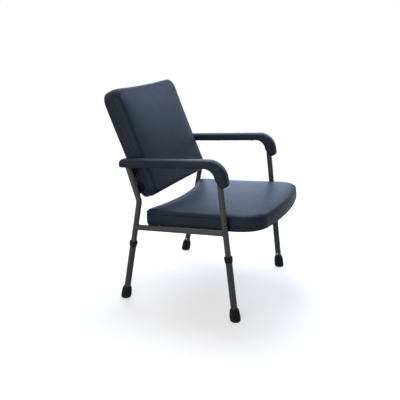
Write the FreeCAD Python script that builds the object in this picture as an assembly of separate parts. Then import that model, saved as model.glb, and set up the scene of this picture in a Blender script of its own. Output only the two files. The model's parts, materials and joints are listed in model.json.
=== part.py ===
import FreeCAD, Part
import math
import os

# Orthopaedic chair with height-adjustable legs, in millimetres.
# +Z is up, the sitter faces -Y and the sitter's left hand is at +X.

# Side frames of bent steel tube
leg_track = 560.0            # left leg axis to right leg axis
foot_spread = 481.4          # front foot to rear foot, on the floor
front_lean = 7.54            # degrees, the front leg leans back going up
rear_lean = 10.5             # degrees, the rear leg leans forward going up
upright_bend_height = 421.0  # where the rear leg turns into the back upright
upright_bend_radius = 50.0
upright_recline = 18.6       # degrees
rail_slope = 4.9             # degrees, seat rails and arms rise towards the front
rail_height = 327.5          # seat rail axis, midway between the feet
arm_height = 580.0           # arm tube axis, midway between the feet
arm_bend_radius = 50.0
arm_tail = 14.0              # arm tube behind the axis of the upright
tube_radius = 11.1
tube_wall = 1.6
weld_gap = 0.2               # between a coped end and the tube it is welded to
fit_gap = 0.1                # between pieces that stay together
soft_gap = 0.3               # between upholstery and what it lies on

# Cross members
seat_cross_front = 140.0     # ahead of the middle of the frame, along the seat
seat_cross_rear = 85.0       # behind the middle of the frame, along the seat
seat_drop = 5.0              # axes of the seat's cross tubes below those of the rails
bar_width = 40.0             # flat bars behind the back
bar_thickness = 5.0
bar_low = 46.0               # middle of the lower bar, up the rear face of the back
bar_pitch = 76.0             # lower bar to upper bar
bar_clearance = 9.0          # side of the back to the bent part of a bar
bar_bend_radius = 8.0
bar_end_run = 16.0           # straight end of a bar, from the upright's axis

# Telescopic legs
tube_lift = 40.0             # lower end of the leg tube above the floor, along the leg
extension_radius = 12.7
extension_wall = 1.2
extension_top = 255.0        # along the leg from the floor
hole_pitch = 25.0
hole_count = 7
button_height = 62.0         # lowest hole, along the leg from the floor
button_radius = 3.5
button_clearance = 0.35      # round the button in both tubes
button_proud = 2.5           # beyond the outside of the extension
leaf_width = 8.0
leaf_thickness = 0.6
leaf_length = 46.0
leaf_tail = 8.0              # leaf past the button's axis
flat_count = 8               # flats round a drilled hole or a gripping bore

# Leg collars
collar_radius = 15.0
collar_length = 27.0
collar_lip = 3.0             # above the top of the extension
collar_clearance = 0.3       # lip round the sliding tube

# Rubber ferrules
ferrule_radius = 19.6
ferrule_height = 51.0
ferrule_sole = 8.0           # rubber under the extension, along the leg

# Cushions
panel_thickness = 1.5        # cloth or vinyl panel under the board
board_inset = 12.0
seat_clearance = 3.9         # side of the seat to the leg tubes
seat_tilt = 4.3              # degrees, rising towards the front
seat_front = 331.0           # ahead of the middle of the frame, along the slope
seat_rear = 145.0            # behind the middle of the frame, along the slope
seat_front_radius = 88.0
seat_rear_radius = 25.0
seat_side_draw = 5.0         # sides drawn in between the corners
seat_front_bow = 15.0        # front edge bowed forward
seat_rear_draw = 34.0        # rear edge drawn in between its corners
seat_border = 56.0           # underside to the edge of the crowned top
seat_crown = 12.0
seat_board_thickness = 15.0
back_clearance = 28.9        # side of the back to the uprights
back_height = 437.0
back_border = 68.0           # rear face to the edge of the crowned front
back_edge_ahead = 53.3       # lower front edge ahead of the upright's bend
back_edge_rise = 19.0        # lower front edge above the upright's bend
back_recline = 23.5          # degrees
back_foot_radius = 38.0
back_top_radius = 50.0
back_side_draw = 2.0
back_top_draw = 4.0
back_foot_draw = 1.0
back_crown = 14.0
back_board_thickness = 12.0
crown_ridge = 2.0            # the arch from front to rear rises this much higher than the one across

# Arm pads
pad_half_width = 24.0
pad_over = 10.3              # upholstery over the top of the tube
pad_under = 9.1              # upholstery below the axis of the tube
pad_shoulder = 6.0           # where the arched top begins, above the axis of the tube
pad_swell = 12.0             # extra fullness in front of the leg
pad_bend_radius = 52.0
pad_tail = 14.5              # upholstery behind the end of the tube
pad_drop = 32.0              # upholstery below the front bend
pad_peel = 9.0               # rear edge of the lobe's end ahead of the leg's axis
pad_end_crest_radius = 18.0  # ends of the pad, outer edge
pad_end_belly_radius = 9.0   # ends of the pad, inner edge

across = FreeCAD.Vector(1, 0, 0)
upward = FreeCAD.Vector(0, 0, 1)
bore_radius = tube_radius - tube_wall
seat_width = leg_track - 2 * (tube_radius + seat_clearance)
back_width = leg_track - 2 * (tube_radius + back_clearance)
parts = {}


def unit(vector):
    return vector * (1.0 / vector.Length)


def leaning(degrees):
    """Direction in the side plane that leans back from the vertical."""
    angle = math.radians(degrees)
    return FreeCAD.Vector(0, math.sin(angle), math.cos(angle))


def meet(start, heading, other, other_heading):
    """Point where two lines of the side plane cross."""
    offset = (other - start).cross(other_heading).x
    return start + heading * (offset / heading.cross(other_heading).x)


def path(points, radii):
    """Straight runs joined by tangent arcs, one radius for each inner corner."""
    edges = []
    start = points[0]
    for before, corner, after, radius in zip(points, points[1:], points[2:], radii):
        back = unit(before - corner)
        ahead = unit(after - corner)
        if radius > 0:
            half = back.getAngle(ahead) / 2
            enter = corner + back * (radius / math.tan(half))
            leave = corner + ahead * (radius / math.tan(half))
            middle = corner + unit(back + ahead) * (radius / math.sin(half) - radius)
            edges.append(Part.LineSegment(start, enter).toShape())
            edges.append(Part.Arc(enter, middle, leave).toShape())
            start = leave
        else:
            edges.append(Part.LineSegment(start, corner).toShape())
            start = corner
    edges.append(Part.LineSegment(start, points[-1]).toShape())
    return Part.Wire(edges)


def bent(points, bend):
    """Path with the same radius at each inner corner."""
    return path(points, [bend] * (len(points) - 2))


def swept(points, bend, section):
    """Solid with one section all along a bent path."""
    return Part.Solid(bent(points, bend).makePipe(Part.Face(section)))


def rod(points, radius, bend=0.0):
    return swept(points, bend, Part.Wire(Part.makeCircle(radius, points[0], points[1] - points[0])))


def tube(points, bend=0.0):
    """Frame tube along a bent path, bored along its straight runs."""
    bar = rod(points, tube_radius, bend)
    for run in bent(points, bend).Edges:
        if isinstance(run.Curve, Part.Line):
            bar = bar.cut(cylinder(bore_radius, run.Vertexes[0].Point, run.Vertexes[-1].Point))
    return bar


def cylinder(radius, start, end):
    return Part.makeCylinder(radius, (end - start).Length, start, end - start)


def flatted(radius, start, end):
    """Prism whose flats touch a cylinder of the given radius, for holes and gripping bores."""
    corner = radius / math.cos(math.pi / flat_count)
    turns = [2 * math.pi * k / flat_count for k in range(flat_count + 1)]
    points = [FreeCAD.Vector(corner * math.cos(turn), corner * math.sin(turn), 0) for turn in turns]
    prism = Part.Face(Part.makePolygon(points)).extrude(upward * (end - start).Length)
    prism.Placement = FreeCAD.Placement(start, FreeCAD.Rotation(upward, end - start))
    return prism


# Lines of the side frame
front_foot = FreeCAD.Vector(0, -foot_spread / 2, 0)
rear_foot = FreeCAD.Vector(0, foot_spread / 2, 0)
front_up = leaning(front_lean)
rear_up = leaning(-rear_lean)
upright_up = leaning(upright_recline)
slope_up = leaning(rail_slope)
rearward = leaning(rail_slope + 90)
upright_bend = rear_foot + rear_up * (upright_bend_height / rear_up.z)
arm_middle = upward * arm_height
rail_middle = upward * rail_height
arm_corner = meet(front_foot, front_up, arm_middle, rearward)
arm_joint = meet(upright_bend, upright_up, arm_middle, rearward)
arm_end = arm_joint + rearward * arm_tail
rail_front = meet(rail_middle, rearward, front_foot, front_up)
rail_rear = meet(rail_middle, rearward, rear_foot, rear_up)
front_run = [front_foot + front_up * tube_lift, arm_corner, arm_end]
front_line = [front_foot, arm_corner, arm_end + rearward * tube_radius]
rear_run = [rear_foot + rear_up * tube_lift, upright_bend, arm_joint]
rail_run = [rail_front, rail_rear]
sides = {"left": 1, "right": -1}
legs = {"front": (front_foot, front_up), "rear": (rear_foot, rear_up)}

# Underside of the seat on its cross tubes, and rear face of the back
seat_up = leaning(seat_tilt)
seat_rearward = leaning(seat_tilt + 90)
seat_cross_middle = rail_middle - seat_up * seat_drop
seat_middle = seat_cross_middle + seat_up * (tube_radius + fit_gap)
seat_place = FreeCAD.Placement(seat_middle, FreeCAD.Rotation(across, -seat_tilt))
back_up = leaning(back_recline)
back_out = leaning(back_recline - 90)
back_edge = upright_bend + FreeCAD.Vector(0, -back_edge_ahead, back_edge_rise)
back_foot = back_edge - back_out * back_border
back_place = FreeCAD.Placement(back_foot, FreeCAD.Rotation(across, 90 - back_recline))
seat_cross_spots = {"front": -seat_cross_front, "rear": seat_cross_rear}
bar_spots = {"lower": bar_low, "upper": bar_low + bar_pitch}


def beside(side, point):
    """Point of the side plane moved into the left or right side frame."""
    return point + across * (side * leg_track / 2)


def both(side, points):
    return [beside(side, point) for point in points]


def coped(shape, points, bend=0.0):
    """End of a tube or bar cut to fit the tubes that it meets on both sides."""
    for side in sides.values():
        shape = shape.cut(rod(both(side, points), tube_radius + weld_gap, bend))
    return shape


def button_hole(side, leg, height):
    """Hole through the inner face of a leg, square to its axis."""
    foot, up = legs[leg]
    axis = beside(side, foot + up * height)
    inward = across * -side
    return flatted(button_radius + button_clearance, axis, axis + inward * 2 * extension_radius)


def make_side_frames():
    for name, side in sides.items():
        front = tube(both(side, front_run), arm_bend_radius)
        rear = coped(tube(both(side, rear_run), upright_bend_radius), front_line, arm_bend_radius)
        rail = coped(tube(both(side, rail_run)), front_line, arm_bend_radius)
        parts["front_leg_arm_tube_" + name] = front.cut(button_hole(side, "front", button_height))
        parts["rear_upright_tube_" + name] = rear.cut(button_hole(side, "rear", button_height))
        parts["seat_rail_" + name] = coped(rail, rear_run, upright_bend_radius)


def make_seat_cross_tubes():
    for name, distance in seat_cross_spots.items():
        middle = seat_cross_middle + seat_rearward * distance
        parts["seat_cross_tube_" + name] = coped(tube([beside(-1, middle), beside(1, middle)]), rail_run)


def make_back_bars():
    """Flat bars on the rear face of the back, bent forward at both ends to meet the uprights."""
    reach = back_width / 2 + bar_clearance
    for name, height in bar_spots.items():
        middle = back_foot + back_up * height - back_out * (bar_thickness / 2 + fit_gap)
        weld = meet(middle, back_out, upright_bend, upright_up)
        run = []
        for side in sides.values():
            end = [beside(side, weld), beside(side, weld) - across * (side * bar_end_run)]
            end.append(middle + across * (side * reach))
            run += end if side > 0 else end[::-1]
        half = back_up * (bar_width / 2)
        rear = back_out * (-bar_thickness / 2)
        ring = [run[0] - half + rear, run[0] + half + rear, run[0] + half - rear, run[0] - half - rear]
        bar = swept(run, bar_bend_radius, Part.makePolygon(ring + ring[:1]))
        parts["back_cross_bar_" + name] = coped(bar, rear_run, upright_bend_radius)


def outline(form, inset, height):
    """Closed outline of a cushion: four rounded corners joined by slightly bowed sides."""
    half = form["width"] / 2 - inset
    low = form["low"] + inset
    high = form["high"] - inset
    low_round = form["low_radius"]
    high_round = form["high_radius"]
    low_near = low_round * (1 - math.sqrt(0.5))
    high_near = high_round * (1 - math.sqrt(0.5))
    side = half - form["side_draw"]
    middle = (low + low_round + high - high_round) / 2

    def at(u, v):
        return FreeCAD.Vector(u, v, height)

    stops = [
        at(low_round - half, low),
        at(0, low + form["low_draw"]),
        at(half - low_round, low),
        at(half - low_near, low + low_near),
        at(half, low + low_round),
        at(side, middle),
        at(half, high - high_round),
        at(half - high_near, high - high_near),
        at(half - high_round, high),
        at(0, high - form["high_draw"]),
        at(high_round - half, high),
        at(high_near - half, high - high_near),
        at(-half, high - high_round),
        at(-side, middle),
        at(-half, low + low_round),
        at(low_near - half, low + low_near),
    ]
    arcs = zip(stops[0::2], stops[1::2], stops[2::2] + stops[:1])
    return Part.Wire([Part.Arc(*arc).toShape() for arc in arcs])


def slab(form, inset, bottom, top):
    """Flat plate with the cushion's outline."""
    return Part.Face(outline(form, inset, bottom)).extrude(upward * (top - bottom))


def crowned(form):
    """Block with the cushion's outline under two shallow arches that cross each other."""
    length = form["high"] - form["low"]
    middle = (form["low"] + form["high"]) / 2
    block = slab(form, 0, 0, form["border"] + form["crown"])
    arches = [
        (form["width"], form["crown"], FreeCAD.Vector(0, 1, 0)),
        (length, form["crown"] + crown_ridge, across),
    ]
    for span, rise, heading in arches:
        radius = (span ** 2 / 4 + rise ** 2) / (2 * rise)
        start = FreeCAD.Vector(0, middle, form["border"] + rise - radius) - heading * form["width"]
        block = block.common(cylinder(radius, start, start + heading * 2 * form["width"]))
    return block


def board_block(form, inset, bottom, top):
    """Plate with clipped corners, clear of the drawn-in sides of the cushion."""
    half = form["width"] / 2 - form["side_draw"] - inset
    low = form["low"] + max(form["low_draw"], 0) + inset
    high = form["high"] - max(form["high_draw"], 0) - inset
    low_clip = form["low_radius"] * (1 - math.sqrt(0.5)) * 2
    high_clip = form["high_radius"] * (1 - math.sqrt(0.5)) * 2
    right = [
        (half - low_clip, low),
        (half, low + low_clip),
        (half, high - high_clip),
        (half - high_clip, high),
    ]
    left = [(-u, v) for u, v in reversed(right)]
    points = [FreeCAD.Vector(u, v, bottom) for u, v in right + left + right[:1]]
    return Part.Face(Part.makePolygon(points)).extrude(upward * (top - bottom))


def make_cushion(name, form, board_thickness):
    """Upholstered cushion with a recess for its board, the board and the panel that closes it."""
    board_top = panel_thickness + board_thickness
    made = {
        "cushion": crowned(form).cut(board_block(form, board_inset, 0, board_top + soft_gap)),
        "board": board_block(form, board_inset + soft_gap, panel_thickness, board_top),
        form["under"]: board_block(form, board_inset + soft_gap, 0, panel_thickness),
    }
    for piece, shape in made.items():
        shape.Placement = form["place"]
        parts[name + "_" + piece] = shape


def make_seat():
    form = {
        "width": seat_width,
        "low": -seat_front,
        "high": seat_rear,
        "low_radius": seat_front_radius,
        "high_radius": seat_rear_radius,
        "side_draw": seat_side_draw,
        "low_draw": -seat_front_bow,
        "high_draw": seat_rear_draw,
        "border": seat_border,
        "crown": seat_crown,
        "place": seat_place,
        "under": "dust_cover",
    }
    make_cushion("seat", form, seat_board_thickness)


def make_back():
    form = {
        "width": back_width,
        "low": 0.0,
        "high": back_height,
        "low_radius": back_foot_radius,
        "high_radius": back_top_radius,
        "side_draw": back_side_draw,
        "low_draw": back_foot_draw,
        "high_draw": back_top_draw,
        "border": back_border,
        "crown": back_crown,
        "place": back_place,
        "under": "panel",
    }
    make_cushion("back", form, back_board_thickness)


def pad_section(centre):
    """Section of an arm pad: deep straight sides under an arched top."""
    crest = tube_radius + pad_over
    belly = -(pad_under + pad_swell)

    def at(a, b):
        return centre + across * a + slope_up * b

    arch = Part.Arc(at(pad_half_width, pad_shoulder), at(0, crest), at(-pad_half_width, pad_shoulder))
    straight = Part.makePolygon(
        [
            at(-pad_half_width, pad_shoulder),
            at(-pad_half_width, belly),
            at(pad_half_width, belly),
            at(pad_half_width, pad_shoulder),
        ]
    )
    return Part.Wire([arch.toShape()] + straight.Edges)


def side_block(points, radii, half_width):
    """Profile in the side plane with rounded corners, given thickness to both sides."""
    block = Part.Face(path(points + points[:1], radii)).extrude(across * 2 * half_width)
    block.translate(across * -half_width)
    return block


def make_arm_pads():
    """Padding over the arm tube that follows its front bend and ends in a rounded lobe."""
    crest = tube_radius + pad_over
    forward = across.cross(front_up)
    tail = arm_end + rearward * pad_tail
    bend_reach = arm_bend_radius * math.tan(front_up.getAngle(rearward) / 2)
    lobe = arm_corner - front_up * (bend_reach + pad_drop)
    spine = [tail, meet(tail, rearward, lobe + forward * pad_swell, front_up), lobe + forward * pad_swell]
    padding = swept(spine, pad_bend_radius, pad_section(tail))
    room = 2 * crest
    end_middle = (crest - pad_end_crest_radius + pad_end_belly_radius - pad_under) / 2
    belly_corner = meet(tail - slope_up * pad_under, rearward, lobe - forward * pad_under, front_up)
    crest_corner = meet(tail + slope_up * room, rearward, lobe + forward * room, front_up)
    trim = side_block(
        [
            tail + slope_up * end_middle,
            tail - slope_up * pad_under,
            belly_corner,
            lobe - forward * pad_under + front_up * pad_drop,
            lobe + forward * pad_peel,
            lobe + forward * (crest + pad_swell),
            lobe + forward * (crest + pad_swell) + front_up * room,
            crest_corner,
            tail + slope_up * crest - rearward * room,
            tail + slope_up * crest,
        ],
        [
            pad_end_belly_radius,
            arm_bend_radius - pad_under,
            0,
            pad_end_belly_radius,
            pad_end_crest_radius,
            0,
            0,
            0,
            pad_end_crest_radius,
        ],
        room,
    )
    seat = tube_radius + soft_gap
    stop = arm_end + rearward * soft_gap
    channel = side_block(
        [
            stop,
            stop + slope_up * seat,
            meet(stop + slope_up * seat, rearward, front_foot + forward * seat, front_up),
            front_foot + forward * seat,
            front_foot - forward * room,
            stop - slope_up * room,
        ],
        [0, arm_bend_radius + seat, 0, 0, 0],
        seat,
    )
    pad = padding.common(trim).cut(channel)
    for name, side in sides.items():
        moved = pad.copy()
        moved.translate(across * (side * leg_track / 2))
        parts["arm_pad_" + name] = moved


def make_legs():
    for side_name, side in sides.items():
        for leg, (foot, up) in legs.items():
            name = leg + "_" + side_name
            base = beside(side, foot)
            make_extension(name, side, leg, base, up)
            make_ferrule(name, base, up)
            make_snap_button(name, side, base, up)


def make_extension(name, side, leg, base, up):
    """Lower leg tube with its row of height holes, and the collar on its top end."""
    low = base + up * (ferrule_sole + fit_gap)
    high = base + up * extension_top
    extension = cylinder(extension_radius, low, high)
    extension = extension.cut(cylinder(extension_radius - extension_wall, low, high))
    for k in range(hole_count):
        extension = extension.cut(button_hole(side, leg, button_height + k * hole_pitch))
    parts["leg_extension_" + name] = extension
    top = high + up * collar_lip
    collar = cylinder(collar_radius, top - up * collar_length, top)
    collar = collar.cut(flatted(extension_radius + fit_gap, top - up * collar_length, high + up * fit_gap))
    parts["leg_collar_" + name] = collar.cut(flatted(tube_radius + collar_clearance, high, top))


def make_ferrule(name, base, up):
    """Rubber foot on the end of the extension, its sole cut level with the floor."""
    top = base + up * ferrule_height
    ferrule = cylinder(ferrule_radius, base - up * ferrule_radius, top)
    ferrule = ferrule.cut(flatted(extension_radius + fit_gap, base + up * ferrule_sole, top))
    room = 4 * ferrule_radius
    corner = FreeCAD.Vector(base.x - room / 2, base.y - room / 2, -room)
    parts["ferrule_" + name] = ferrule.cut(Part.makeBox(room, room, room, corner))


def make_snap_button(name, side, base, up):
    """Spring button that locks the leg, and the bent leaf behind it inside the leg tube."""
    inward = across * -side
    axis = base + up * button_height
    leaf_face = math.sqrt(bore_radius ** 2 - (leaf_width / 2) ** 2) - fit_gap
    tip = extension_radius + button_proud
    parts["snap_button_" + name] = cylinder(button_radius, axis + inward * leaf_face, axis + inward * tip)
    button_side = leaf_face - fit_gap
    line = bent(
        [
            FreeCAD.Vector(0, button_side, -leaf_tail),
            FreeCAD.Vector(0, button_side, leaf_tail),
            FreeCAD.Vector(0, 0, leaf_length - leaf_tail),
            FreeCAD.Vector(0, -leaf_face, 0),
        ],
        0,
    )
    strip = line.makeOffset2D(-leaf_thickness, join=2, fill=True, openResult=True)
    leaf = strip.extrude(across * leaf_width)
    leaf.translate(across * (-leaf_width / 2))
    turn = FreeCAD.Rotation(inward.cross(up), inward, up, "ZYX")
    leaf.Placement = FreeCAD.Placement(axis, turn).multiply(leaf.Placement)
    parts["snap_spring_" + name] = leaf


make_side_frames()
make_seat_cross_tubes()
make_back_bars()
make_seat()
make_back()
make_arm_pads()
make_legs()

# The origin lies on the floor, midway between the front and the rear of the chair
reach = [shape.optimalBoundingBox() for shape in parts.values()]
middle_y = (min(box.YMin for box in reach) + max(box.YMax for box in reach)) / 2
os.makedirs("parts", exist_ok=True)
for node, shape in parts.items():
    shape.translate(FreeCAD.Vector(0, -middle_y, 0))
    shape.exportStep("parts/" + node + ".step")
print(len(parts), "nodes, moved by", round(-middle_y, 3), "mm along Y")
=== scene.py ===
import bpy
import json
import math
import numpy as np
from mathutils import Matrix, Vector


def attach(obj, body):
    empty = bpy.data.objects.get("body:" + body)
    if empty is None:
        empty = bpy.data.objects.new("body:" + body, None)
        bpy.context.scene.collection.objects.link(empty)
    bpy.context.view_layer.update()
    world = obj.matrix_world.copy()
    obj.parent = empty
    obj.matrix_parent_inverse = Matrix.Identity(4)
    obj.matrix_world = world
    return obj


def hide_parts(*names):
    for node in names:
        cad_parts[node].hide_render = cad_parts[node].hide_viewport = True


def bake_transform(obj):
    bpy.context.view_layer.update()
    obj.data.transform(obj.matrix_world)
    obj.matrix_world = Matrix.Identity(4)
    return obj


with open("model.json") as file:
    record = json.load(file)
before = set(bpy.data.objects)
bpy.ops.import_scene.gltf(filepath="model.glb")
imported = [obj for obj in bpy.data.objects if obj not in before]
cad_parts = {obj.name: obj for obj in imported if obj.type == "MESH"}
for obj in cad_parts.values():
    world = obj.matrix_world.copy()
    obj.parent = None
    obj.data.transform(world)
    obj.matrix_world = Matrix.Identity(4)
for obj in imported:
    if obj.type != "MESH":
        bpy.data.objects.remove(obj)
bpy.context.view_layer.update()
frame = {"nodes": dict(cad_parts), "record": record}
print("frame loaded:", len(frame["nodes"]), "nodes")

# lengths in metres, angles in degrees; the sitter faces -Y and the left hand is at +X
xAxis = np.array([1.0, 0.0, 0.0])
sides = {"left": 1.0, "right": -1.0}
feet = {m["name"][5:]: np.array(m["pos_m"], float) for m in frame["record"]["mounts"]}
midY = (feet["front_left"][1] + feet["rear_left"][1]) / 2

tubing = {
    "track": 0.56, "frontLean": 7.54, "rearLean": 10.5, "bendHeight": 0.421, "bendRadius": 0.05,
    "recline": 18.6, "slope": 4.9, "railHeight": 0.3275, "armHeight": 0.58, "armBend": 0.05,
    "armTail": 0.014, "radius": 0.0111, "wall": 0.0016, "lift": 0.04, "around": 48, "bendSteps": 22,
}
hairGap = 0.0001  # between pieces that touch
sharpAngle = 38.0  # edges that turn more than this are drawn sharp


# the same direction with a length of one
def unit(v):
    return v / np.linalg.norm(v)


# the same for each row of an array
def units(rows):
    return rows / np.linalg.norm(rows, axis=1)[:, None]


# direction in the side plane that leans back from the vertical
def leaning(degrees):
    return np.array([0.0, math.sin(math.radians(degrees)), math.cos(math.radians(degrees))])


# crossing of two lines of the side plane: start plus heading times the ratio of two cross products
def meet(start, heading, other, otherHeading):
    offset = np.cross(other - start, otherHeading)[0] / np.cross(heading, otherHeading)[0]
    return start + heading * offset


frontUp = leaning(tubing["frontLean"])
rearUp = leaning(-tubing["rearLean"])
uprightUp = leaning(tubing["recline"])
slopeUp = leaning(tubing["slope"])
rearward = leaning(tubing["slope"] + 90)
frontFoot = np.array([0.0, feet["front_left"][1], 0.0])
rearFoot = np.array([0.0, feet["rear_left"][1], 0.0])
armMiddle = np.array([0.0, midY, tubing["armHeight"]])
railMiddle = np.array([0.0, midY, tubing["railHeight"]])
uprightBend = rearFoot + rearUp * (tubing["bendHeight"] / rearUp[2])
armCorner = meet(frontFoot, frontUp, armMiddle, rearward)
armJoint = meet(uprightBend, uprightUp, armMiddle, rearward)
armEnd = armJoint + rearward * tubing["armTail"]
railFront = meet(railMiddle, rearward, frontFoot, frontUp)
railRear = meet(railMiddle, rearward, rearFoot, rearUp)
legLines = {"front": (frontFoot, frontUp), "rear": (rearFoot, rearUp)}


# points of the side plane moved out to the legs of one hand
def beside(side, points):
    return np.asarray(points) + xAxis * (side * tubing["track"] / 2)


# straight runs joined by arcs: each arc turns evenly from its entry to its exit about its centre
def bentRun(points, radius, steps):
    run = [points[0]]
    for before, corner, after in zip(points, points[1:], points[2:]):
        back, ahead = unit(before - corner), unit(after - corner)
        half = math.acos(np.clip(back @ ahead, -1, 1)) / 2
        centre = corner + unit(back + ahead) * (radius / math.sin(half))
        entry = corner + back * (radius / math.tan(half)) - centre
        leave = corner + ahead * (radius / math.tan(half)) - centre
        turn = math.pi - 2 * half
        share = np.linspace(0, 1, steps)[:, None]
        arc = (np.sin((1 - share) * turn) * entry + np.sin(share * turn) * leave) / math.sin(turn)
        run += list(centre + arc)
    run.append(points[-1])
    return np.array(run)


# closed outline in a plane with its corners rounded, each by its own radius
def filletLoop(corners, radii, steps):
    flat = [np.array([a, b, 0.0]) for a, b in corners]
    loop = []
    for k, radius in enumerate(radii):
        before, corner, after = flat[k - 1], flat[k], flat[(k + 1) % len(flat)]
        if radius > 0:
            loop += list(bentRun([before, corner, after], radius, steps)[1:-1])
        else:
            loop.append(corner)
    return np.array(loop)[:, :2]


# rectangle about the origin with its four corners rounded alike
def flatSection(width, thick, radius, steps):
    w, t = width / 2, thick / 2
    return filletLoop([(-w, -t), (w, -t), (w, t), (-w, t)], [radius] * 4, steps)


# distance along a line of points, at each of them
def lengths(line):
    return np.concatenate([[0], np.cumsum(np.linalg.norm(np.diff(line, axis=0), axis=1))])


# points of a line in a plane, read off at spots between its marks
def readOff(spots, marks, line):
    return np.stack([np.interp(spots, marks, line[:, n]) for n in (0, 1)], -1)


# points of a piece's own plane, (across, along, height), placed in the chair
def inPlane(points, origin, along, up):
    return origin + points[:, :1] * xAxis + points[:, 1:2] * along + points[:, 2:] * up


# quads between neighbouring rows and columns of a grid of points
def gridQuads(rows, cols, closeRows=False, closeCols=False):
    ids = np.arange(rows * cols).reshape(rows, cols)
    if closeRows:
        ids = np.vstack([ids, ids[:1]])
    if closeCols:
        ids = np.hstack([ids, ids[:, :1]])
    return np.stack([ids[:-1, :-1], ids[:-1, 1:], ids[1:, 1:], ids[1:, :-1]], -1).reshape(-1, 4)


# quads from one closed loop of points to another
def bridge(first, second):
    return np.stack([first, np.roll(first, -1), np.roll(second, -1), second], -1)


# each path point carries the profile: first profile value along the binormal, second square to the path
def sweep(path, binormal, profile):
    tangent = units(np.gradient(path, axis=0))
    normal = np.cross(tangent, binormal)
    profile = np.broadcast_to(profile, (len(path),) + np.shape(profile)[-2:])
    return path[:, None] + profile[..., :1] * binormal + profile[..., 1:] * normal[:, None]


# points of a circle at even angles
def circle(radius, count):
    turn = np.arange(count) * (2 * math.pi / count)
    return radius * np.stack([np.cos(turn), np.sin(turn)], -1)


# outer wall forward and bore backward, closed at both ends by a ring
def tubeShell(path, binormal, outer, inner, around):
    walls = [sweep(path, binormal, circle(outer, around)), sweep(path, binormal, circle(inner, around))[::-1]]
    grid = np.vstack(walls)
    return grid.reshape(-1, 3), gridQuads(len(grid), around, True, True)


# a section carried along a run, each end closed by a fan from its middle
def bar(run, binormal, section):
    grid = sweep(run, binormal, section)
    points = np.vstack([grid.reshape(-1, 3), grid[0].mean(0), grid[-1].mean(0)])
    count, last = len(section), (len(run) - 1) * len(section)
    ids = np.arange(count)
    tris = [np.stack([ids, (ids + 1) % count, ids * 0 + len(points) - 2], -1)]
    tris.append(np.stack([(ids + 1) % count + last, ids + last, ids * 0 + len(points) - 1], -1))
    return points, gridQuads(len(run), count, False, True), np.vstack(tris)


# profile of (radius, height) turned about an axis; level tilts the foot of the profile onto the floor
def lathe(profile, base, axis, first, around, level=0.0, closed=False):
    second = np.cross(axis, first)
    turn = np.arange(around) * (2 * math.pi / around)
    ring = np.cos(turn)[:, None] * first + np.sin(turn)[:, None] * second
    profile = np.asarray(profile, float)
    points = base + profile[:, 1, None, None] * axis + profile[:, 0, None, None] * ring
    if level:
        share = np.clip(1 - profile[:, 1] / level, 0, 1)[:, None]
        points -= (profile[:, :1] * ring[:, 2] * share / axis[2])[..., None] * axis
    if closed:
        return points.reshape(-1, 3), gridQuads(len(profile), around, True, True)
    quads = gridQuads(len(profile) - 2, around, False, True)
    points = np.vstack([points[1:-1].reshape(-1, 3), points[0, :1], points[-1, :1]])
    low = np.arange(around)
    high = low + (len(profile) - 3) * around
    fan = [[(low + 1) % around, low, low * 0 + len(points) - 2]]
    fan.append([high, (low + 1) % around + high[0], low * 0 + len(points) - 1])
    tris = np.concatenate([np.stack(f, -1) for f in fan])
    return points, quads, tris


# several (points, quads, tris) surfaces as one
def joined(surfaces):
    points, quads, tris, start = [], [], [], 0
    for made in surfaces:
        points.append(made[0])
        quads.append(made[1] + start)
        if len(made) > 2:
            tris.append(made[2] + start)
        start += len(made[0])
    return np.vstack(points), np.vstack(quads), np.vstack(tris) if tris else np.zeros((0, 3), int)


# a mesh from whole arrays, turned outwards where its signed volume is negative
def meshFrom(name, points, quads, tris=None, crease=sharpAngle):
    tris = np.zeros((0, 3), int) if tris is None else np.asarray(tris)
    corner = points[np.vstack([quads[:, [0, 1, 2]], quads[:, [0, 2, 3]], tris])] - points.mean(0)
    if np.einsum("ij,ij->i", corner[:, 0], np.cross(corner[:, 1], corner[:, 2])).sum() < 0:
        quads, tris = quads[:, ::-1], tris[:, ::-1]
    mesh = bpy.data.meshes.new(name)
    loops = np.concatenate([quads.ravel(), tris.ravel()])
    sizes = np.concatenate([np.full(len(quads), 4), np.full(len(tris), 3)])
    mesh.vertices.add(len(points))
    mesh.vertices.foreach_set("co", np.ascontiguousarray(points, np.float32).ravel())
    mesh.loops.add(len(loops))
    mesh.loops.foreach_set("vertex_index", loops.astype(np.int32))
    mesh.polygons.add(len(sizes))
    mesh.polygons.foreach_set("loop_start", np.concatenate([[0], np.cumsum(sizes)[:-1]]).astype(np.int32))
    mesh.update(calc_edges=True)
    mesh.validate()
    mesh.shade_smooth()
    if crease:
        mesh.set_sharp_from_angle(angle=math.radians(crease))
    return mesh


# a new object in the scene with a surface's mesh
def newObject(name, surface, crease=sharpAngle):
    obj = bpy.data.objects.new(name, meshFrom(name, *surface, crease=crease))
    bpy.context.scene.collection.objects.link(obj)
    return obj


# a new object dressed as a piece
def addPiece(name, surface, material, body="frame", nodes=(), crease=sharpAngle):
    return dress(newObject(name, surface, crease), material, body, nodes)


# finish, body and the nodes that a piece stands for
def dress(obj, material, body="frame", nodes=()):
    obj.data.materials.clear()
    obj.data.materials.append(material)
    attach(obj, body)
    if nodes:
        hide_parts(*nodes)
    return obj


# sRGB hex to linear red, green, blue and alpha
def linear(hexText):
    value = np.array([int(hexText[k:k + 2], 16) for k in (1, 3, 5)]) / 255
    value = np.where(value <= 0.04045, value / 12.92, ((value + 0.055) / 1.055) ** 2.4)
    return tuple(value) + (1.0,)


# one node with its fields set, each input given a value or a link
def addNode(tree, kind, inputs=None, **fields):
    node = tree.nodes.new(kind)
    for field, value in fields.items():
        setattr(node, field, value)
    for socket, value in (inputs or {}).items():
        if isinstance(value, bpy.types.NodeSocket):
            tree.links.new(value, node.inputs[socket])
        else:
            node.inputs[socket].default_value = value
    return node


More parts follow.
